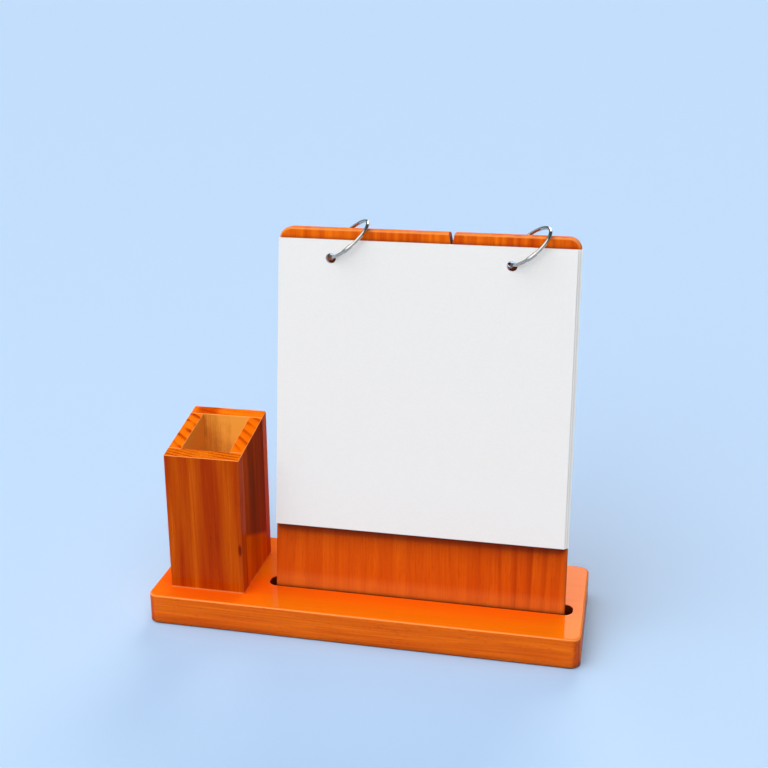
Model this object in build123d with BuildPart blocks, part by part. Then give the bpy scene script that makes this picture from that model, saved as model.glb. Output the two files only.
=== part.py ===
from build123d import *
import os
from math import cos, degrees, radians, sin, tan

# Desk calendar with a pen holder: a solid wood base with a slot, a leaning
# back board that stands in the slot, a pen box of four glued walls, and a
# stack of loose sheets that hang on two hinged binder rings.
# Millimetres. +X right, +Y back, +Z up, origin at the centre of the base's
# underside.

os.makedirs("parts", exist_ok=True)

# One overrun for every cut that has to pass right through a piece
overrun = 1.0

# Base
base_length = 250.0
base_depth = 85.0
base_thickness = 18.0
base_corner_radius = 6.0
base_edge_radius = 1.4
base_foot_chamfer = 0.8

# Pen box: outside sizes, heights above the base, and where it stands
box_width = 45.0
box_depth = 53.0
box_wall = 8.0
box_front_height = 83.5
box_back_height = 94.0
box_left_margin = 10.5
box_front_margin = 12.0
box_corner_radius = 1.0
box_top_radius = 0.5

# Countersunk screws that hold the pen box from below
screw_shank_diameter = 3.5
screw_head_diameter = 7.0
screw_head_angle = 90.0
screw_head_recess = 0.5
screw_grip = 16.0
screw_tip_length = 3.0
screw_inset = 11.0
screw_play = 0.1

# Back board: it fills the base from the pen box to the right end, and its height
# is measured up the slope from the base's top
board_box_gap = 14.6
board_right_margin = 10.9
board_thickness = 10.0
board_height = 211.5
board_lean = 8.0
board_corner_radius = 7.0
board_edge_radius = 1.8

# V-notch in the board's top edge
notch_width = 3.65
notch_depth = 7.8
notch_offset = 13.9

# Slot in the base that the board stands in
slot_depth = 12.0
slot_front_margin = 25.5
slot_end_play = 4.6
slot_end_share = 0.84
seat_gap = 0.2

# Binder rings: wire, size, and how they hang at rest
wire_diameter = 2.0
ring_radius = 14.3
ring_spacing = 101.3
ring_pair_offset = 5.55
ring_forward = 1.1
ring_lean = 49.7
ring_twist = 20.5
ring_drop_share = 0.42
clasp_angle = 98.0

# Clasp: socket sleeve on the fixed half, pin on the gate
sleeve_diameter = 2.5
sleeve_length = 5.6
pin_diameter = 0.9
pin_length = 1.6
pin_side_play = 0.25
pin_end_play = 0.4
clasp_gap = 0.15

# Ring hinge: two half-thickness eyes on one rivet
eye_diameter = 4.2
eye_clearance = 0.25
lap_gap = 0.2
rivet_diameter = 1.4
rivet_head_diameter = 2.8
rivet_head_thickness = 0.4
rivet_play = 0.12

# Sheets
sheet_count = 12
sheet_height = 166.7
sheet_thickness = 0.2
sheet_gap = 0.08
sheet_first_gap = 0.15
sheet_group_count = 4
sheet_group_step = 1.05
sheet_left_margin = 0.8
sheet_right_margin = 1.4
sheet_hole_diameter = 5.8
sheet_hole_edge = 10.3
board_hole_diameter = 7.6

# Places of the punched and drilled holes from a ring's centre, across and up
# the board, as shares of the ring's radius
sheet_hole_shares = (-0.5745, -0.7341)
board_hole_shares = (-0.7343, -0.6017)

# Board directions: across, up the slope, and out of the front face
lean = radians(board_lean)
across = Vector(1, 0, 0)
up = Vector(0, sin(lean), cos(lean))
out = Vector(0, -cos(lean), sin(lean))

# Pen box places, and the board's width and middle from what is left of the base
box_left = -base_length / 2 + box_left_margin
box_right = box_left + box_width
box_front = -base_depth / 2 + box_front_margin
box_back = box_front + box_depth
box_rise = (box_back_height - box_front_height) / box_depth
board_left = box_right + board_box_gap
board_right = base_length / 2 - board_right_margin
board_width = board_right - board_left
board_offset = (board_left + board_right) / 2

# The board's lower back edge stands on the slot's floor, its lower front edge
# is against the slot's front wall and its back leans on the slot's back edge
slot_length = board_width + 2 * slot_end_play
slot_width = 2 * seat_gap + board_thickness * cos(lean) + (slot_depth - seat_gap) * tan(lean)
slot_end_radius = slot_width / 2 * slot_end_share
slot_front = -base_depth / 2 + slot_front_margin
foot_y = slot_front + seat_gap
foot_z = base_thickness - slot_depth + seat_gap + board_thickness * sin(lean)
board_sink = (base_thickness - foot_z) / cos(lean)
board_origin = Vector(board_offset, foot_y, foot_z) + up * board_sink
board_plane = Plane(origin=board_origin, x_dir=across, z_dir=out)

# Screw places in the middle of the pen box's front and back walls
screw_spots = [
    (x, y)
    for x in (box_left + screw_inset, box_right - screw_inset)
    for y in (box_front + box_wall / 2, box_back - box_wall / 2)
]

# Ring places on the board: the centre's height, depth and the two positions
wire_radius = wire_diameter / 2
ring_height = board_height - ring_radius * ring_drop_share
ring_depth = ring_forward - board_thickness / 2
ring_places = {
    "left": ring_pair_offset - ring_spacing / 2,
    "right": ring_pair_offset + ring_spacing / 2,
}
sheet_holes = [
    (x + ring_radius * sheet_hole_shares[0], ring_height + ring_radius * sheet_hole_shares[1])
    for x in ring_places.values()
]
board_holes = [
    (x + ring_radius * board_hole_shares[0], ring_height + ring_radius * board_hole_shares[1])
    for x in ring_places.values()
]

# Directions in a ring's own plane: it leans to the right and twists a little,
# which is how a loose ring comes to rest on the board's top edge
tilt = radians(ring_lean)
twist = radians(ring_twist)
clasp = radians(clasp_angle)
ring_up = across * sin(tilt) + up * cos(tilt)
ring_side = across * cos(tilt) - up * sin(tilt)
ring_front = out * cos(twist) + ring_side * sin(twist)
ring_normal = out * sin(twist) - ring_side * cos(twist)
clasp_direction = ring_front * sin(clasp) - ring_up * cos(clasp)
hinge_spot = (-ring_radius, 0)


def wall_top(y):
    """Height of the pen box's sloping top at a depth y."""
    return base_thickness + box_front_height + box_rise * (y - box_front)


def ring_section(ring_plane, angle):
    """Plane across the wire, at an angle round the ring from the clasp."""
    turn = radians(angle)
    radial = ring_plane.x_dir * cos(turn) + ring_plane.y_dir * sin(turn)
    tangent = ring_plane.y_dir * cos(turn) - ring_plane.x_dir * sin(turn)
    return Plane(origin=ring_plane.origin + radial * ring_radius, x_dir=radial, z_dir=tangent)


# Base board with the slot for the back board
with BuildPart() as base_board:
    with BuildSketch():
        RectangleRounded(base_length, base_depth, base_corner_radius)
    extrude(amount=base_thickness)
    fillet(faces().sort_by(Axis.Z)[-1].edges(), radius=base_edge_radius)
    chamfer(faces().sort_by(Axis.Z)[0].edges(), length=base_foot_chamfer)
    with BuildSketch(Plane.XY.offset(base_thickness)):
        with Locations((board_offset, slot_front + slot_width / 2)):
            RectangleRounded(slot_length, slot_width, slot_end_radius)
    extrude(amount=-slot_depth, mode=Mode.SUBTRACT)
    for spot in screw_spots:
        with Locations(Plane(origin=(*spot, 0), z_dir=(0, 0, -1))):
            CounterSinkHole(
                radius=screw_shank_diameter / 2 + screw_play,
                counter_sink_radius=screw_head_diameter / 2,
                depth=base_thickness,
                counter_sink_angle=screw_head_angle,
            )
base_board.part.label = "base_board"
export_step(base_board.part, "parts/base_board.step")

# Pen box: front and back walls over the full width, side walls between them,
# all cut to one sloping top
wall_spans = {
    "pen_box_front_wall": (box_front, box_front + box_wall, box_left, box_width),
    "pen_box_back_wall": (box_back - box_wall, box_back, box_left, box_width),
    "pen_box_left_wall": (box_front + box_wall, box_back - box_wall, box_left, box_wall),
    "pen_box_right_wall": (box_front + box_wall, box_back - box_wall, box_right - box_wall, box_wall),
}
for wall_name, (y_near, y_far, x_start, x_length) in wall_spans.items():
    with BuildPart() as box_side:
        with BuildSketch(Plane.YZ.offset(x_start)):
            with BuildLine():
                Polyline(
                    (y_near, base_thickness),
                    (y_far, base_thickness),
                    (y_far, wall_top(y_far)),
                    (y_near, wall_top(y_near)),
                    close=True,
                )
            make_face()
        extrude(amount=x_length)
        if x_length == box_width:
            outer = edges().filter_by(Axis.Z).group_by(Axis.Y)
            fillet(outer[0] if y_near == box_front else outer[-1], radius=box_corner_radius)
        fillet(faces().sort_by(Axis.Z)[-1].edges(), radius=box_top_radius)
        if x_length == box_width:
            with BuildSketch(Plane.XY.offset(base_thickness)):
                with Locations([spot for spot in screw_spots if y_near < spot[1] < y_far]):
                    Circle(screw_shank_diameter / 2 + screw_play)
            extrude(amount=screw_grip + screw_play, mode=Mode.SUBTRACT)
    box_side.part.label = wall_name
    export_step(box_side.part, f"parts/{wall_name}.step")

# Wood screws up through the base into the front and back walls
shank_radius = screw_shank_diameter / 2
head_radius = screw_head_diameter / 2
head_slope = tan(radians(screw_head_angle / 2))
with BuildPart() as pen_box_screws:
    for spot in screw_spots:
        with BuildSketch(Plane(origin=(*spot, 0), x_dir=(1, 0, 0), z_dir=(0, -1, 0))):
            with BuildLine():
                Polyline(
                    (0, screw_head_recess),
                    (head_radius - screw_head_recess * head_slope, screw_head_recess),
                    (shank_radius, (head_radius - shank_radius) / head_slope),
                    (shank_radius, base_thickness + screw_grip - screw_tip_length),
                    (0, base_thickness + screw_grip),
                    close=True,
                )
            make_face()
        revolve(axis=Axis((*spot, 0), (0, 0, 1)))
pen_box_screws.part.label = "pen_box_screws"
export_step(pen_box_screws.part, "parts/pen_box_screws.step")

# Back board: rounded top corners, rounded edges, two ring holes and a notch
with BuildPart() as back_board:
    with BuildSketch(board_plane):
        with Locations((0, (board_height - board_sink) / 2)):
            Rectangle(board_width, board_height + board_sink)
        fillet(vertices().group_by(Axis.Y)[-1], radius=board_corner_radius)
    extrude(amount=-board_thickness)
    faces_by_depth = faces().sort_by(Axis(board_origin, out))
    slope_axis = Axis(board_origin, up)
    front_rim = faces_by_depth[-1].edges().sort_by(slope_axis)[1:]
    back_rim = faces_by_depth[0].edges().sort_by(slope_axis)[1:]
    fillet(front_rim + back_rim, radius=board_edge_radius)
    with BuildSketch(board_plane.offset(overrun)):
        with Locations(board_holes):
            Circle(board_hole_diameter / 2)
    extrude(amount=-board_thickness - 2 * overrun, mode=Mode.SUBTRACT)
    with BuildSketch(board_plane.offset(overrun)):
        notch_half = notch_width / 2 * (notch_depth + overrun) / notch_depth
        with BuildLine():
            Polyline(
                (notch_offset, board_height - notch_depth),
                (notch_offset + notch_half, board_height + overrun),
                (notch_offset - notch_half, board_height + overrun),
                close=True,
            )
        make_face()
    extrude(amount=-board_thickness - 2 * overrun, mode=Mode.SUBTRACT)
back_board.part.label = "back_board"
export_step(back_board.part, "parts/back_board.step")

# Two binder rings, each a fixed half through the board and the sheets, a gate
# half that opens over the top, and the rivet they turn on
clasp_gap_angle = degrees(clasp_gap / ring_radius)
sleeve_angle = degrees(sleeve_length / ring_radius)
for side, ring_x in ring_places.items():
    ring_centre = board_plane.from_local_coords((ring_x, ring_height, ring_depth))
    ring_plane = Plane(origin=ring_centre, x_dir=clasp_direction, z_dir=ring_normal)
    ring_axis = Axis(ring_plane.origin, ring_plane.z_dir)

    with BuildPart() as ring_half:
        with BuildSketch(ring_section(ring_plane, -180)):
            Circle(wire_radius)
        revolve(axis=ring_axis, revolution_arc=180)
        with BuildSketch(ring_section(ring_plane, -sleeve_angle)):
            Circle(sleeve_diameter / 2)
        revolve(axis=ring_axis, revolution_arc=sleeve_angle)
        with BuildSketch(ring_section(ring_plane, 0)):
            Circle(pin_diameter / 2 + pin_side_play)
        extrude(amount=-pin_length - pin_end_play, mode=Mode.SUBTRACT)
        with BuildSketch(ring_plane.offset(lap_gap / 2)):
            with Locations(hinge_spot):
                Circle(eye_diameter / 2 + eye_clearance)
        extrude(amount=-wire_diameter, mode=Mode.SUBTRACT)
        with BuildSketch(ring_plane.offset(lap_gap / 2)):
            with Locations(hinge_spot):
                Circle(eye_diameter / 2)
        extrude(amount=wire_radius - lap_gap / 2)
        with BuildSketch(ring_plane):
            with Locations(hinge_spot):
                Circle(rivet_diameter / 2)
        extrude(amount=wire_diameter, mode=Mode.SUBTRACT)
    ring_half.part.label = f"{side}_ring_half"
    export_step(ring_half.part, f"parts/{side}_ring_half.step")

    with BuildPart() as ring_gate:
        with BuildSketch(ring_section(ring_plane, clasp_gap_angle)):
            Circle(wire_radius)
        revolve(axis=ring_axis, revolution_arc=180 - clasp_gap_angle)
        with BuildSketch(ring_section(ring_plane, clasp_gap_angle)):
            Circle(pin_diameter / 2)
        extrude(amount=-pin_length)
        with BuildSketch(ring_plane.offset(-lap_gap / 2)):
            with Locations(hinge_spot):
                Circle(eye_diameter / 2 + eye_clearance)
        extrude(amount=wire_diameter, mode=Mode.SUBTRACT)
        with BuildSketch(ring_plane.offset(-lap_gap / 2)):
            with Locations(hinge_spot):
                Circle(eye_diameter / 2)
        extrude(amount=lap_gap / 2 - wire_radius)
        with BuildSketch(ring_plane):
            with Locations(hinge_spot):
                Circle(rivet_diameter / 2 + rivet_play)
        extrude(amount=-wire_diameter, mode=Mode.SUBTRACT)
    ring_gate.part.label = f"{side}_ring_gate"
    export_step(ring_gate.part, f"parts/{side}_ring_gate.step")

    with BuildPart() as ring_rivet:
        with BuildSketch(ring_plane.offset(wire_radius)):
            with Locations(hinge_spot):
                Circle(rivet_head_diameter / 2)
        extrude(amount=rivet_head_thickness)
        with BuildSketch(ring_plane.offset(-wire_radius - rivet_play)):
            with Locations(hinge_spot):
                Circle(rivet_diameter / 2)
        extrude(amount=wire_diameter + rivet_play)
        with BuildSketch(ring_plane.offset(-wire_radius - rivet_play)):
            with Locations(hinge_spot):
                Circle(rivet_head_diameter / 2)
        extrude(amount=-rivet_head_thickness)
    ring_rivet.part.label = f"{side}_ring_rivet"
    export_step(ring_rivet.part, f"parts/{side}_ring_rivet.step")

# Loose sheets, numbered from the front: flush at the left, and each group of
# sheets a little wider at the right than the group in front of it
sheet_left = sheet_left_margin - board_width / 2
sheet_width = board_width - sheet_left_margin - sheet_right_margin
sheet_pitch = sheet_thickness + sheet_gap
sheet_top = sheet_holes[0][1] + sheet_hole_edge
for number in range(1, sheet_count + 1):
    width = sheet_width + sheet_group_step * ((number - 1) // sheet_group_count)
    stand_off = sheet_first_gap + sheet_pitch * (sheet_count - number)
    with BuildPart() as sheet:
        with BuildSketch(board_plane.offset(stand_off)):
            with Locations((sheet_left + width / 2, sheet_top - sheet_height / 2)):
                Rectangle(width, sheet_height)
            with Locations(sheet_holes):
                Circle(sheet_hole_diameter / 2, mode=Mode.SUBTRACT)
        extrude(amount=sheet_thickness)
    sheet.part.label = f"sheet_{number:02d}"
    export_step(sheet.part, f"parts/sheet_{number:02d}.step")
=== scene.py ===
import math

import bpy
from mathutils import Matrix, Vector
from mathutils.geometry import tessellate_polygon


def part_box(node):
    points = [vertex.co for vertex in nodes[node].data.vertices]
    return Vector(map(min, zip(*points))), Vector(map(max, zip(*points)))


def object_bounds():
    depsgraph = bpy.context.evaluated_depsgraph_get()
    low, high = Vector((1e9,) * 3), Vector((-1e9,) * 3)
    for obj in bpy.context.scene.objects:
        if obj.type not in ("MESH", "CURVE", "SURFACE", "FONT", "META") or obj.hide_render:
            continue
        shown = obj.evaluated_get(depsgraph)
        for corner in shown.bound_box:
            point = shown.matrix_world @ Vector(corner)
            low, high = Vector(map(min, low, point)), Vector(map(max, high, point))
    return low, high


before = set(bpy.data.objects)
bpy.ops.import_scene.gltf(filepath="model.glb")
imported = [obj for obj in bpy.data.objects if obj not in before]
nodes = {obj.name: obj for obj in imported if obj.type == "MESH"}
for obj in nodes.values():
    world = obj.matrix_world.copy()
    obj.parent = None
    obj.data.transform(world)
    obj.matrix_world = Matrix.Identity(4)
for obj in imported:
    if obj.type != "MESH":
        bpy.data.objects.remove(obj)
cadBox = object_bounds()
scene = bpy.context.scene
scene.view_settings.view_transform = "Standard"
print("frame loaded:", len(nodes), "nodes")


# camera at the photograph's angle
cameraView = {
    "spot": (0.144368, -0.62199, 0.370112),
    "heading": 12.344,   # degrees to the left of +Y
    "dip": 16.637,       # degrees below level
    "roll": -0.428,
    "lens": 56.26,
    "sensor": 36,
    "lift": -64 / 768,   # the optical axis is 64 pixels above the middle of 768
    "nearest": 0.01,
}


def addCamera(view):
    lensData = bpy.data.cameras.new("deskCamera")
    lensData.lens = view["lens"]
    lensData.sensor_width = view["sensor"]
    lensData.shift_y = view["lift"]
    lensData.clip_start = view["nearest"]
    camera = bpy.data.objects.new("deskCamera", lensData)
    scene.collection.objects.link(camera)
    turn = (
        Matrix.Rotation(math.radians(view["heading"]), 4, "Z")
        @ Matrix.Rotation(math.radians(90 - view["dip"]), 4, "X")
        @ Matrix.Rotation(math.radians(view["roll"]), 4, "Z")
    )
    camera.matrix_world = Matrix.Translation(view["spot"]) @ turn
    scene.camera = camera


addCamera(cameraView)
print("camera set")


# small helpers for node trees
def newMaterial(name):
    material = bpy.data.materials.new(name)
    material.use_nodes = True
    tree = material.node_tree
    return material, tree, tree.nodes["Principled BSDF"]


def addNode(tree, kind, **values):
    node = tree.nodes.new(kind)
    for key, value in values.items():
        setattr(node, key, value)
    return node


def plug(tree, target, source):
    if isinstance(source, (int, float, tuple, list)):
        target.default_value = source
    else:
        tree.links.new(source, target)


def maths(tree, kind, first, second=0.0):
    node = addNode(tree, "ShaderNodeMath", operation=kind)
    plug(tree, node.inputs[0], first)
    plug(tree, node.inputs[1], second)
    return node.outputs[0]


def total(tree, first, *others):
    for part in others:
        first = maths(tree, "ADD", first, part)
    return first


def times(tree, first, *others):
    for part in others:
        first = maths(tree, "MULTIPLY", first, part)
    return first


def ratio(tree, first, second, width):   # (first - second) / width
    return maths(tree, "DIVIDE", maths(tree, "SUBTRACT", first, second), width)


def vectorMaths(tree, kind, first, second=(0.0, 0.0, 0.0)):
    node = addNode(tree, "ShaderNodeVectorMath", operation=kind)
    plug(tree, node.inputs[0], first)
    plug(tree, node.inputs[1], second)
    return node.outputs["Value"] if kind in ("LENGTH", "DOT_PRODUCT") else node.outputs[0]


def splitVector(tree, vector):
    node = addNode(tree, "ShaderNodeSeparateXYZ")
    plug(tree, node.inputs[0], vector)
    return node.outputs


noiseMiddle = 0.5


def noise(tree, where, detail=2.0, rough=0.5):
    node = addNode(tree, "ShaderNodeTexNoise")
    node.inputs["Scale"].default_value = 1.0
    node.inputs["Detail"].default_value = detail
    node.inputs["Roughness"].default_value = rough
    plug(tree, node.inputs["Vector"], where)
    return node


def ramp(tree, factor, stops, mode="LINEAR"):
    node = addNode(tree, "ShaderNodeValToRGB")
    node.color_ramp.interpolation = mode
    marks = node.color_ramp.elements
    while len(marks) < len(stops):
        marks.new(0.5)
    for mark, (place, colour) in zip(marks, stops):
        mark.position = place
        mark.color = (*colour, 1.0)
    plug(tree, node.inputs["Fac"], factor)
    return node.outputs["Color"]


def grey(level):
    return (level, level, level)


def levels(tree, factor, stops, mode="LINEAR"):   # a ramp of plain levels
    return ramp(tree, factor, [(place, grey(level)) for place, level in stops], mode)


def mixColour(tree, factor, first, second):
    node = addNode(tree, "ShaderNodeMix", data_type="RGBA")
    plug(tree, node.inputs["Factor"], factor)
    for socket, colour in ((node.inputs[6], first), (node.inputs[7], second)):   # its colour sockets
        plug(tree, socket, (*colour, 1.0) if isinstance(colour, tuple) else colour)
    return node.outputs[2]


def openness(tree, reach, samples=8):   # 1 in the open, less in corners
    node = addNode(tree, "ShaderNodeAmbientOcclusion", samples=samples)
    node.inputs["Distance"].default_value = reach
    return node.outputs["AO"]


def addBump(tree, shader, height, finish):
    bump = addNode(tree, "ShaderNodeBump")
    bump.inputs["Strength"].default_value = finish["bumpStrength"]
    bump.inputs["Distance"].default_value = finish["bumpDepth"]
    plug(tree, bump.inputs["Height"], height)
    plug(tree, shader.inputs["Normal"], bump.outputs["Normal"])


def dress(nodeName, material):
    mesh = nodes[nodeName].data
    mesh.materials.clear()
    mesh.materials.append(material)


rising = ((0.0, 0.0), (1.0, 1.0))
falling = ((0.0, 1.0), (1.0, 0.0))
upwards = (0.0, 0.0, 1.0)


# stained and varnished softwood: bands of heavier stain, fibres, growth rings, rubbed edges with a painted
# highlight, and painted shade, shadow and reflections
stainTones = {
    "pale": (0.90, 0.184, 0.003),
    "body": (0.63, 0.076, 0.000),
    "deep": (0.42, 0.035, 0.000),
    "dark": (0.19, 0.015, 0.000),
    "paintedReflection": (0.90, 0.100, 0.002),      # painted reflection: redder beside what stands on the base
    "rubbedAndLit": (0.92, 0.36, 0.09),       # paler tone: thin stain on rubbed edges and at the box's foot, also used for the painted edge highlight and the board's painted bounce light
    "bareLight": (0.97, 0.43, 0.065),   # unstained wood inside the pen box
    "bareDark": (0.58, 0.17, 0.014),
    "paintedShade": (0.08, 0.008, 0.002),      # painted shade in corners and holes, and the painted shadow under the sheets
}
toneDepths = {"pale": 0.05, "body": 0.40, "deep": 0.72, "dark": 1.0}   # depth of stain for each tone
bareDepths = {"bareLight": 0.42, "bareDark": 1.0}
woodStreaks = {   # noise along the grain: its stretch and softness, and the levels made of it
    "fade": {"scale": (70.0, 70.0, 8.0), "detail": 1.0, "rough": 0.5,
             "levels": ((0.32, 0.25), (0.62, 1.0)), "mode": "EASE"},
    "band": {"scale": (120.0, 120.0, 9.0), "detail": 2.0, "rough": 0.45,
             "levels": ((0.32, 0.0), (0.68, 1.0)), "mode": "EASE"},
    "pore": {"scale": (2600.0, 2600.0, 190.0), "detail": 1.0, "rough": 0.5,
             "levels": ((0.60, 0.0), (0.74, 1.0)), "mode": "LINEAR"},
    "stripe": {"scale": (260.0, 260.0, 6.0), "detail": 1.0, "rough": 0.5,
               "levels": ((0.30, 0.0), (0.70, 1.0)), "mode": "LINEAR"},
    "fibre": {"scale": (1100.0, 1100.0, 16.0), "detail": 3.0, "rough": 0.6},
    "blotch": {"scale": (150.0, 150.0, 90.0), "detail": 3.0, "rough": 0.6},
}
woodLevels = {   # where each mask starts and is full
    "year": ((0.0, 0.05), (0.45, 0.18), (0.80, 0.95), (0.98, 0.05)),   # pale early wood, dark late wood
    "heart": ((0.3, 1.0), (1.0, 0.0)),
    "endGrain": ((0.75, 0.0), (0.92, 1.0)),
    "top": ((0.6, 0.0), (0.95, 1.0)),
    "scar": ((0.35, 1.0), (1.0, 0.0)),
    "litUpward": ((0.1, 0.12), (0.4, 1.0)),
    "paintedShade": ((0.35, 0.97), (0.80, 0.0)),
    "sheetShadow": ((0.87, 1.0), (0.97, 0.0)),
}
woodFinish = {
    "wanderScale": (9.0, 9.0, 3.2),
    "ringWander": 0.012,
    "ridge": (0.84, 0.965),   # squareness at which an edge is fully rubbed, and not at all
    "uprightBelow": 0.3,      # an edge whose faces look up less than this stands upright
    "inwardAbove": 0.6,       # a face that looks into the box by more than this is bare
    "wornFull": 0.5,          # share of the pale foot band that is at full weight
    "blotch": 0.75,
    "softSamples": 16,        # for the wide, soft masks around corners
    "roughness": 0.34,
    "fibreRoughness": 0.16,
    "specular": 0.0,
    "coat": 0.15,
    "coatRoughness": 0.05,
    "coatIor": 1.38,
    "bumpStrength": 0.35,
    "bumpDepth": 0.00006,
    "poreBump": 0.6,
}


def streaks(tree, where, kind, scale=None):
    settings = woodStreaks[kind]
    stretched = vectorMaths(tree, "MULTIPLY", where, scale or settings["scale"])
    level = noise(tree, stretched, settings["detail"], settings["rough"]).outputs["Fac"]
    return levels(tree, level, settings["levels"], settings["mode"]) if "levels" in settings else level


def readSurface(tree):
    place = addNode(tree, "ShaderNodeTexCoord").outputs["Object"]
    facing = addNode(tree, "ShaderNodeNewGeometry").outputs["Normal"]
    sides = splitVector(tree, vectorMaths(tree, "ABSOLUTE", facing))
    return {
        "place": place,
        "spot": splitVector(tree, place),
        "facing": facing,
        "up": vectorMaths(tree, "DOT_PRODUCT", facing, upwards),
        "upright": maths(tree, "LESS_THAN", sides[2], woodFinish["uprightBelow"]),
        "squarest": maths(tree, "MAXIMUM", maths(tree, "MAXIMUM", sides[0], sides[1]), sides[2]),
    }


def growWood(tree, place, grain):
    turned = addNode(tree, "ShaderNodeMapping")
    turned.inputs["Rotation"].default_value = [math.radians(angle) for angle in grain["turn"]]
    turned.inputs["Location"].default_value = (-grain["pith"][0], -grain["pith"][1], 0.0)
    plug(tree, turned.inputs["Vector"], place)
    along = turned.outputs["Vector"]
    wanderAt = vectorMaths(tree, "MULTIPLY", along, woodFinish["wanderScale"])
    wander = vectorMaths(tree, "SUBTRACT", noise(tree, wanderAt).outputs["Color"], grey(noiseMiddle))
    drift = woodFinish["ringWander"] * grain.get("wander", 1.0)
    bent = vectorMaths(tree, "ADD", along, vectorMaths(tree, "MULTIPLY", wander, grey(drift)))
    radius = vectorMaths(tree, "LENGTH", vectorMaths(tree, "MULTIPLY", bent, (1.0, 1.0, 0.0)))
    year = maths(tree, "FRACT", times(tree, radius, 1.0 / grain["ringGap"]))
    return {
        "wander": wander,
        "bent": bent,
        "rings": times(tree, levels(tree, year, woodLevels["year"]), streaks(tree, bent, "fade")),
        "band": streaks(tree, bent, "band"),
        "fibre": streaks(tree, bent, "fibre"),
        "pores": streaks(tree, bent, "pore", grain.get("poreScale")),
    }


def edgeLine(tree, surface, ridge):   # rounded edges face no single way
    full, none = ridge
    return levels(tree, surface["squarest"], ((full, 1.0), (none, 0.0)))


def stainDepth(tree, surface, growth, grain):
    # end grain drinks more stain, so the rings show stronger there
    endOn = maths(tree, "ABSOLUTE", vectorMaths(tree, "DOT_PRODUCT", surface["facing"], grain["axis"]))
    endGrain = levels(tree, endOn, woodLevels["endGrain"])
    sideOn = maths(tree, "SUBTRACT", 1.0, endGrain)
    ringShare = total(tree, times(tree, endGrain, grain["endRings"]), grain["rings"])
    stain = total(
        tree,
        times(tree, growth["rings"], ringShare),
        times(tree, growth["fibre"], grain["fibres"]),
        times(tree, growth["band"], sideOn, grain["bands"]),
        times(tree, growth["pores"], grain["pores"]),
        times(tree, endGrain, grain["endDepth"]),
        grain["depth"],
    )
    if "heart" in grain:   # darker heartwood in a strip along the grain
        heart = grain["heart"]
        centre = heart["at"] - grain["pith"][0]
        aside = ratio(tree, splitVector(tree, growth["bent"])[0], centre, heart["width"])
        strip = levels(tree, maths(tree, "ABSOLUTE", aside), woodLevels["heart"], "EASE")
        lines = times(tree, growth["rings"], heart["lines"])
        stain = total(tree, stain, times(tree, strip, total(tree, lines, heart["weight"])))
    if "foot" in grain:   # another depth below a line, level or slanting; on the box's right wall this is a painted reflection of the base
        foot = grain["foot"]
        height = vectorMaths(tree, "DOT_PRODUCT", surface["place"], (0.0, foot["fall"], 1.0))
        low = levels(tree, ratio(tree, height, foot["top"], foot["soft"]), falling, "EASE")
        stain = total(tree, stain, times(tree, low, foot["weight"]))
        if "stripes" in foot:   # and striped wood above it
            striped = maths(tree, "SUBTRACT", streaks(tree, growth["bent"], "stripe"), noiseMiddle)
            high = maths(tree, "SUBTRACT", 1.0, low)
            stain = total(tree, stain, times(tree, striped, high, foot["stripes"]))
    if "evenLitTop" in grain:   # the planed top is evener than the sawn edges, and lighter: painted light from above
        evenLitTop = grain["evenLitTop"]
        share = times(tree, levels(tree, surface["up"], woodLevels["top"]), evenLitTop["share"])
        stain = total(tree, stain, times(tree, maths(tree, "SUBTRACT", evenLitTop["level"], stain), share))
    if "scar" in grain:   # a dark resin streak
        scar = grain["scar"]
        waver = vectorMaths(tree, "MULTIPLY", growth["wander"], grey(scar["wander"]))
        wavy = vectorMaths(tree, "ADD", surface["place"], waver)
        fromScar = vectorMaths(tree, "SUBTRACT", wavy, scar["spot"])
        spread = vectorMaths(tree, "LENGTH", vectorMaths(tree, "DIVIDE", fromScar, scar["size"]))
        mark = levels(tree, spread, woodLevels["scar"], "EASE")
        stain = total(tree, stain, times(tree, mark, scar["weight"]))
    if "uprightCornerShade" in grain:   # painted shade: rounded upright corners are darker
        corner = times(tree, edgeLine(tree, surface, woodFinish["ridge"]), surface["upright"])
        stain = total(tree, stain, times(tree, corner, grain["uprightCornerShade"]))
    return stain


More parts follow.
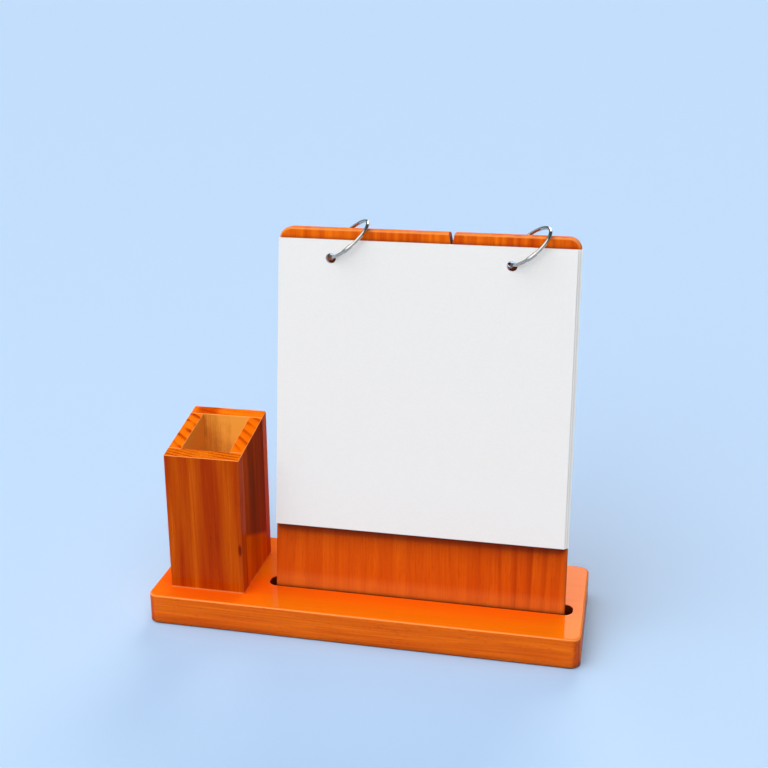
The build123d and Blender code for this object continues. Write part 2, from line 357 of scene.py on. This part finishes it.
def stainColour(tree, surface, stain, grain):
    tones = {**stainTones, **grain.get("tones", {})}
    colour = ramp(tree, stain, [(depth, tones[tone]) for tone, depth in toneDepths.items()])
    if "inward" in grain:   # bare and blotched inside the pen box
        blotch = maths(tree, "SUBTRACT", streaks(tree, surface["place"], "blotch"), noiseMiddle)
        patchy = total(tree, stain, times(tree, blotch, woodFinish["blotch"]))
        bare = ramp(tree, patchy, [(depth, tones[tone]) for tone, depth in bareDepths.items()])
        inward = vectorMaths(tree, "DOT_PRODUCT", surface["facing"], grain["inward"])
        inside = maths(tree, "GREATER_THAN", inward, woodFinish["inwardAbove"])
        colour = mixColour(tree, inside, colour, bare)
    if "paintedReflection" in grain:   # painted reflection of the box and the board: redder on the top, in front of them
        paintedReflection = grain["paintedReflection"]
        near = openness(tree, paintedReflection["reach"], woodFinish["softSamples"])
        reflectedNear = levels(tree, near, ((paintedReflection["full"], paintedReflection["weight"]), (paintedReflection["none"], 0.0)))
        onTop = levels(tree, surface["up"], woodLevels["top"])
        inFront = levels(tree, ratio(tree, paintedReflection["until"], surface["spot"][1], paintedReflection["soft"]), rising)
        colour = mixColour(tree, times(tree, reflectedNear, onTop, inFront), colour, tones["paintedReflection"])
    # edges that look up are paler: the stain is rubbed thin there, and partly a painted highlight
    edge = edgeLine(tree, surface, grain.get("ridge", woodFinish["ridge"]))
    edgeRubAndHighlight = times(tree, edge, levels(tree, surface["up"], woodLevels["litUpward"]), grain["edgeRubAndHighlight"])
    colour = mixColour(tree, edgeRubAndHighlight, colour, tones["rubbedAndLit"])
    if "worn" in grain:   # and paler near the foot: rubbed on the box walls, painted bounce light on the board
        worn = grain["worn"]
        rise = ratio(tree, surface["spot"][2], worn["from"], worn["height"])
        footPaleness = levels(tree, rise, ((woodFinish["wornFull"], worn["weight"]), (1.0, 0.0)))
        colour = mixColour(tree, footPaleness, colour, tones["rubbedAndLit"])
    if "cornerReach" in grain:   # painted shade: darker in holes and corners
        shadedCorners = levels(tree, openness(tree, grain["cornerReach"]), woodLevels["paintedShade"])
        if "shadeBelow" in grain:   # in the slot, not on the top
            shadedCorners = times(tree, shadedCorners, maths(tree, "LESS_THAN", surface["spot"][2], grain["shadeBelow"]))
        colour = mixColour(tree, shadedCorners, colour, tones["paintedShade"])
    if "sheetShadow" in grain:   # painted shadow of the sheets on the board, below their foot
        under = grain["sheetShadow"]
        near = openness(tree, under["reach"], woodFinish["softSamples"])
        beside = levels(tree, near, woodLevels["sheetShadow"])
        there = levels(tree, surface["spot"][2], (
            (under["from"], 0.0), (under["full"], under["weight"]),
            (under["until"], under["weight"]), (under["gone"], 0.0),
        ))
        colour = mixColour(tree, times(tree, beside, there), colour, tones["paintedShade"])
    return colour


def stainedWood(name, grain):
    material, tree, shader = newMaterial(name)
    surface = readSurface(tree)
    growth = growWood(tree, surface["place"], grain)
    stain = stainDepth(tree, surface, growth, grain)
    plug(tree, shader.inputs["Base Color"], stainColour(tree, surface, stain, grain))
    gloss = total(tree, times(tree, growth["fibre"], woodFinish["fibreRoughness"]), woodFinish["roughness"])
    plug(tree, shader.inputs["Roughness"], gloss)
    shader.inputs["Specular IOR Level"].default_value = woodFinish["specular"]
    shader.inputs["Coat Weight"].default_value = grain.get("coat", woodFinish["coat"])
    shader.inputs["Coat Roughness"].default_value = woodFinish["coatRoughness"]
    shader.inputs["Coat IOR"].default_value = woodFinish["coatIor"]
    dents = times(tree, growth["pores"], woodFinish["poreBump"])
    addBump(tree, shader, maths(tree, "SUBTRACT", growth["fibre"], dents), woodFinish)
    return material


# turn brings the grain upright, pith is the middle of the tree, the weights add up to the depth of stain
baseTop = 0.018
boardLean = 8.0
slope = (0.0, math.sin(math.radians(boardLean)), math.cos(math.radians(boardLean)))
boxWall = {   # grain up the box
    "turn": (0.0, 0.0, 0.0), "axis": upwards, "rings": 0.06, "pores": 0.10, "edgeRubAndHighlight": 0.9, "uprightCornerShade": 0.12,
    "worn": {"from": baseTop, "height": 0.0012, "weight": 0.6},
}
woodGrain = {
    "base_board": {   # grain along the base
        "turn": (0.0, -90.0, 0.0), "axis": (1.0, 0.0, 0.0), "pith": (0.05, -0.11), "ringGap": 0.0052,
        "rings": 0.06, "endRings": 0.20, "endDepth": 0.0,
        "fibres": 0.66, "bands": 0.12, "pores": 0.13, "poreScale": (1500.0, 1500.0, 280.0), "depth": -0.21,
        "edgeRubAndHighlight": 0.7, "ridge": (0.78, 0.92), "coat": 0.34, "uprightCornerShade": 0.30,
        # painted shade in the slot
        "cornerReach": 0.008, "shadeBelow": 0.0176,
        # evener top, made lighter as painted light from above
        "evenLitTop": {"share": 0.75, "level": 0.07},
        # painted reflection of the box and the board on the varnished top
        "paintedReflection": {"reach": 0.03, "full": 0.66, "none": 0.95, "weight": 0.85, "until": 0.0, "soft": 0.015},
    },
    "back_board": {   # grain up the slope, with dark wavy lines towards its right side
        "turn": (boardLean, 0.0, 0.0), "axis": slope, "pith": (0.01, 0.16), "ringGap": 0.0034,
        "rings": 0.06, "endRings": 0.20, "endDepth": -0.10,
        "fibres": 0.26, "bands": 0.11, "pores": 0.12, "poreScale": (1700.0, 1700.0, 120.0), "depth": 0.03,
        "heart": {"at": 0.085, "width": 0.03, "weight": 0.02, "lines": 0.26},
        # painted shade in the ring holes and at the slot
        "edgeRubAndHighlight": 0.6, "cornerReach": 0.004,
        "foot": {"top": 0.190, "fall": 0.0, "soft": 0.02, "weight": 0.12, "stripes": 0.34},
        # paler foot of the board: painted bounce light from the base
        "worn": {"from": baseTop, "height": 0.010, "weight": 0.15},
        # painted shadow of the sheets on the board
        "sheetShadow": {
            "from": 0.034, "full": 0.042, "until": 0.10, "gone": 0.15, "reach": 0.016, "weight": 0.78,
        },
    },
    "pen_box_front_wall": {
        **boxWall, "pith": (-0.0445, 0.2185), "inward": (0.0, 1.0, 0.0), "ringGap": 0.0023, "wander": 0.5,
        "endRings": 0.60, "endDepth": -0.26, "fibres": 0.60, "bands": 0.34, "depth": 0.06,
        "heart": {"at": -0.088, "width": 0.020, "weight": 0.03, "lines": 0.0},
        "tones": {"pale": (0.80, 0.190, 0.006), "body": (0.54, 0.079, 0.000), "deep": (0.42, 0.037, 0.000)},
        "scar": {
            "spot": (-0.0712, -0.0305, 0.0455), "size": (0.0014, 0.004, 0.005),
            "weight": 0.5, "wander": 0.004,
        },
    },
    "pen_box_back_wall": {
        **boxWall, "pith": (-0.08, 0.12), "inward": (0.0, -1.0, 0.0), "ringGap": 0.0046,
        "endRings": 0.25, "endDepth": -0.20, "fibres": 0.56, "bands": 0.30, "depth": -0.10,
        "heart": {"at": -0.106, "width": 0.010, "weight": 0.46, "lines": 0.0},
    },
    "pen_box_left_wall": {
        **boxWall, "pith": (-0.20, -0.12), "inward": (1.0, 0.0, 0.0), "ringGap": 0.0062,
        "endRings": 0.85, "endDepth": -0.03, "fibres": 0.56, "bands": 0.34, "depth": -0.27,
    },
    "pen_box_right_wall": {   # dark, and redder below a slanting line: a painted reflection of the base
        **boxWall, "pith": (-0.16, -0.10), "inward": (-1.0, 0.0, 0.0), "ringGap": 0.0060, "coat": 0.03,
        "endRings": 0.46, "endDepth": -0.50, "fibres": 0.30, "bands": 0.18, "pores": 0.06, "depth": 0.46,
        # painted reflection of the base below a slanting line
        "foot": {"top": 0.040, "fall": 0.42, "soft": 0.004, "weight": -0.47},
        "tones": {"deep": (0.37, 0.049, 0.004), "dark": (0.17, 0.021, 0.004)},
    },
}
for nodeName, grain in woodGrain.items():
    dress(nodeName, stainedWood("stained_" + nodeName, grain))
print("wood dressed")


# matte white card, a little whiter behind the front sheets: painted light that makes up for the shade the
# front sheets cast on the edges behind them
cardFinish = {
    "front": {"light": (0.894, 0.894, 0.908), "shade": (0.868, 0.868, 0.884)},
    "litBehind": {"light": (0.930, 0.932, 0.944), "shade": (0.910, 0.912, 0.926)},
    "frontCount": 4,
    "mottleScale": 900.0,
    "mottleDetail": 3.0,
    "mottleStops": {"shade": 0.3, "light": 0.7},
    "fibreScale": 5200.0,
    "roughness": 0.62,
    "bumpStrength": 0.25,
    "bumpDepth": 0.00002,
    "seamShade": (0.66, 0.67, 0.69),   # painted shade: grey line where the edge of one sheet meets the next
    "seamReach": 0.0006,
    "seamLevels": ((0.55, 1.0), (0.85, 0.0)),
}


def whiteCard(name, tones, finish):
    material, tree, shader = newMaterial(name)
    place = addNode(tree, "ShaderNodeTexCoord").outputs["Object"]
    mottleAt = vectorMaths(tree, "MULTIPLY", place, grey(finish["mottleScale"]))
    mottle = noise(tree, mottleAt, finish["mottleDetail"]).outputs["Fac"]
    colour = ramp(tree, mottle, [(stop, tones[tone]) for tone, stop in finish["mottleStops"].items()])
    seamShade = levels(tree, openness(tree, finish["seamReach"]), finish["seamLevels"])
    plug(tree, shader.inputs["Base Color"], mixColour(tree, seamShade, colour, finish["seamShade"]))
    shader.inputs["Roughness"].default_value = finish["roughness"]
    fibreAt = vectorMaths(tree, "MULTIPLY", place, grey(finish["fibreScale"]))
    addBump(tree, shader, noise(tree, fibreAt).outputs["Fac"], finish)
    return material


frontCard = whiteCard("white_card_front", cardFinish["front"], cardFinish)
litCardBehind = whiteCard("white_card_lit_behind", cardFinish["litBehind"], cardFinish)
for nodeName in nodes:
    if nodeName.startswith("sheet_"):
        inFront = int(nodeName[-2:]) <= cardFinish["frontCount"]
        dress(nodeName, frontCard if inFront else litCardBehind)
print("sheets dressed")


# bright nickel plate on the rings, plain zinc on the screws
metalFinish = {
    "nickel": {"colour": (0.51, 0.48, 0.44), "roughness": 0.02, "smear": 0.08, "scale": 700.0},
    "zinc": {"colour": (0.52, 0.53, 0.55), "roughness": 0.28, "smear": 0.18, "scale": 500.0},
    "smearDetail": 3.0,
    "dulled": 0.86,             # share of the colour that is left in a smear
    "smearStops": (0.25, 0.6),
}


def platedMetal(name, plate, finish):
    material, tree, shader = newMaterial(name)
    place = addNode(tree, "ShaderNodeTexCoord").outputs["Object"]
    smearAt = vectorMaths(tree, "MULTIPLY", place, grey(plate["scale"]))
    smear = noise(tree, smearAt, finish["smearDetail"]).outputs["Fac"]
    dull = tuple(finish["dulled"] * part for part in plate["colour"])
    tones = list(zip(finish["smearStops"], (dull, plate["colour"])))
    plug(tree, shader.inputs["Base Color"], ramp(tree, smear, tones))
    shader.inputs["Metallic"].default_value = 1.0
    rough = total(tree, times(tree, smear, plate["smear"]), plate["roughness"])
    plug(tree, shader.inputs["Roughness"], rough)
    return material


nickel = platedMetal("nickel_plate", metalFinish["nickel"], metalFinish)
zinc = platedMetal("zinc_plate", metalFinish["zinc"], metalFinish)
for nodeName in nodes:
    if "_ring_" in nodeName:
        dress(nodeName, nickel)
dress("pen_box_screws", zinc)
print("metal dressed")


# plain pale floor and soft studio light: a broad sun, a disc in front and two windows in the sky
studio = {
    "floorSize": 60.0,
    "openingInset": 0.001,
    "openingCorner": 0.005,
    "openingSteps": 6,
    "floorSeen": (0.44, 0.62, 0.88),
    "floorBounce": (0.42, 0.45, 0.48),   # darker for diffuse rays, so that faces in shade stay deep
    "floorRoughness": 0.9,
    "floorSpecular": 0.0,
    "sky": (0.10, 0.11, 0.12),
    "paleSky": (0.53, 0.73, 0.98),
    "paleSeen": (0.40, 0.60),       # sine of the height at which the pale backdrop starts to go, and is gone
    "paleMirrored": (0.06, 0.16),
    "paleUnder": -0.02,             # and below which all is pale
    "windows": [                    # direction, reach in degrees, colour and strength
        {"way": (0.02, 0.87, 0.49), "reach": 18.0, "colour": (1.0, 0.80, 0.58), "strength": 8.0},
        {"way": (-0.68, 0.05, 0.73), "reach": 40.0, "colour": (1.0, 1.0, 1.0), "strength": 0.75},
    ],
    "windowEdge": ((0.0, 0.0), (0.5, 1.0)),
}
sunLamp = {"height": 55.0, "side": 15.0, "angle": 90.0, "strength": 2.57, "colour": (1.0, 0.99, 0.97)}
frontPanel = {"spot": (-0.6, -1.7, 0.9), "size": 1.2, "power": 3.9, "colour": (1.0, 0.99, 0.97)}


def footOpening(settings):
    low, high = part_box("base_board")
    corner = settings["openingCorner"]
    inset = settings["openingInset"] + corner
    left, right = low[0] + inset, high[0] - inset
    front, back = low[1] + inset, high[1] - inset
    steps = settings["openingSteps"]
    outline = []
    for quarter, (x, y) in enumerate(((right, back), (left, back), (left, front), (right, front))):
        for step in range(steps + 1):
            angle = math.radians(90 * (quarter + step / steps))
            outline.append(Vector((x + corner * math.cos(angle), y + corner * math.sin(angle), 0.0)))
    return outline


def mirroredRays(tree, path):
    return maths(tree, "MAXIMUM", path["Is Glossy Ray"], path["Is Transmission Ray"])


def addFloor(settings):
    half = settings["floorSize"] / 2
    rim = [Vector(spot) for spot in ((-half, -half, 0), (half, -half, 0), (half, half, 0), (-half, half, 0))]
    opening = footOpening(settings)   # the base stands over it, so its underside can be seen from below
    mesh = bpy.data.meshes.new("floor")
    mesh.from_pydata(rim + opening, [], tessellate_polygon([rim, opening]))
    floor = bpy.data.objects.new("floor", mesh)
    scene.collection.objects.link(floor)
    material, tree, shader = newMaterial("pale_floor")
    path = addNode(tree, "ShaderNodeLightPath").outputs
    seen = maths(tree, "MAXIMUM", path["Is Camera Ray"], mirroredRays(tree, path))
    tint = mixColour(tree, seen, settings["floorBounce"], settings["floorSeen"])
    plug(tree, shader.inputs["Base Color"], tint)
    shader.inputs["Roughness"].default_value = settings["floorRoughness"]
    shader.inputs["Specular IOR Level"].default_value = settings["floorSpecular"]
    mesh.materials.append(material)


def addSky(settings):
    world = bpy.data.worlds.new("studio")
    world.use_nodes = True
    tree = world.node_tree
    way = addNode(tree, "ShaderNodeTexCoord").outputs["Generated"]
    light = settings["sky"]
    for window in settings["windows"]:
        towards = vectorMaths(tree, "DOT_PRODUCT", way, tuple(Vector(window["way"]).normalized()))
        rim = math.cos(math.radians(window["reach"]))
        glow = levels(tree, ratio(tree, towards, rim, 1.0 - rim), settings["windowEdge"], "EASE")
        full = tuple(part * window["strength"] for part in window["colour"])
        light = vectorMaths(tree, "ADD", vectorMaths(tree, "MULTIPLY", glow, full), light)
    # what is seen beyond the floor, also in metal, is as pale as the floor, and so is all that is below it
    path = addNode(tree, "ShaderNodeLightPath").outputs
    height = splitVector(tree, way)[2]

    def below(top, gone):
        return levels(tree, height, ((top, 1.0), (gone, 0.0)), "EASE")

    mirrored = times(tree, mirroredRays(tree, path), below(*settings["paleMirrored"]))
    seen = times(tree, path["Is Camera Ray"], below(*settings["paleSeen"]))
    under = maths(tree, "LESS_THAN", height, settings["paleUnder"])
    pale = maths(tree, "MAXIMUM", maths(tree, "MAXIMUM", seen, mirrored), under)
    plug(tree, tree.nodes["Background"].inputs["Color"], mixColour(tree, pale, light, settings["paleSky"]))
    scene.world = world


def addLight(name, kind, spot, target, settings):
    data = bpy.data.lights.new(name, kind)
    data.color = settings["colour"]
    light = bpy.data.objects.new(name, data)
    scene.collection.objects.link(light)
    light.location = spot
    light.rotation_euler = (target - spot).to_track_quat("-Z", "Y").to_euler()
    return data


addFloor(studio)
addSky(studio)
middle = (Vector(cadBox[0]) + Vector(cadBox[1])) / 2
sunTurn = Matrix.Rotation(math.radians(-sunLamp["side"]), 3, "Z")
sunWay = sunTurn @ Matrix.Rotation(math.radians(-sunLamp["height"]), 3, "X") @ Vector((0.0, -1.0, 0.0))
sunData = addLight("sunLamp", "SUN", middle + sunWay, middle, sunLamp)
sunData.energy = sunLamp["strength"]
sunData.angle = math.radians(sunLamp["angle"])
panelData = addLight("frontPanel", "AREA", Vector(frontPanel["spot"]), middle, frontPanel)
panelData.shape = "DISK"
panelData.size = frontPanel["size"]
panelData.energy = frontPanel["power"]
print("studio ready")
